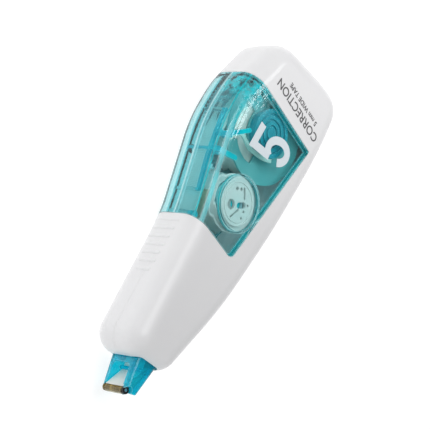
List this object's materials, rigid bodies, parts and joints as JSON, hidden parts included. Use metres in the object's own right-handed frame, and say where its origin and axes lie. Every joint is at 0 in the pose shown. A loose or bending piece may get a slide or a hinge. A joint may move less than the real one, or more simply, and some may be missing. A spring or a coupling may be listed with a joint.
{
  "type": "correction tape roller",
  "caption": "Pen-held correction tape roller with a white case, a clear cyan tape cartridge with geared reels, and a press roller at the tip.",
  "frame": {"origin": "centre of the footprint, on the surface that the object lies on", "axes": "+X from the applicator tip to the tail, +Y towards the finger-grip edge, +Z out of the broad side that faces up"},
  "size_m": [0.0884, 0.031, 0.014],
  "materials": {
    "white_case": "satin moulded",
    "clear_cyan": "clear moulded plastic",
    "frame_cyan": "clear moulded plastic",
    "pale_arm": "natural",
    "clear_blue": "clear moulded plastic",
    "black_bush": "matt",
    "brass_roller": "turned",
    "steel_pin": "ground",
    "reel_plastic": "natural",
    "teal_cap": "moulded",
    "white_tape": "matt coated film",
    "grey_gear": "moulded",
    "drum_white": "moulded",
    "wound_film": "wound release film",
    "film": "thin release film"
  },
  "bodies": {
    "case": {"case_lower_shell": "white_case", "case_upper_shell": "white_case", "window_lower_cover": "clear_cyan", "window_upper_cover": "clear_cyan", "cartridge_frame": "frame_cyan", "brake_arm": "pale_arm", "tip_head": "clear_blue", "tape_strand": "white_tape", "film_strand": "film", "tip_bush_near": "black_bush", "tip_bush_far": "brass_roller"},
    "supply": {"supply_reel": "reel_plastic", "supply_hub_cap": "teal_cap", "tape_roll": "white_tape", "clutch_washer": "steel_pin"},
    "supply_drive": {"supply_gear": "grey_gear"},
    "take_up": {"take_up_reel": "drum_white", "take_up_dial": "drum_white", "take_up_gear": "drum_white", "film_roll": "wound_film"},
    "press_roller": {"tip_roller": "brass_roller", "roller_axle": "steel_pin"}
  },
  "joints": [
    {"name": "supply_spin", "type": "hinge", "parent": "case", "child": "supply", "pos_m": [0.0231, 0.0011, 0.007], "axis": [0, 0, 1], "continuous": true},
    {"name": "supply_gear_spin", "type": "hinge", "parent": "case", "child": "supply_drive", "pos_m": [0.0231, 0.0011, 0.007], "axis": [0, 0, 1], "continuous": true},
    {"name": "take_up_spin", "type": "hinge", "parent": "case", "child": "take_up", "pos_m": [0.00486, -0.00169, 0.007], "axis": [0, 0, 1], "continuous": true},
    {"name": "roller_spin", "type": "hinge", "parent": "case", "child": "press_roller", "pos_m": [-0.0428, -0.0056, 0.007], "axis": [0, 0, 1], "continuous": true}
  ],
  "couplings": [
    {"joint": "supply_gear_spin", "follows": "supply_spin", "ratio": 1},
    {"joint": "take_up_spin", "follows": "supply_spin", "ratio": -1.617},
    {"joint": "roller_spin", "follows": "supply_spin", "ratio": 12.125}
  ]
}
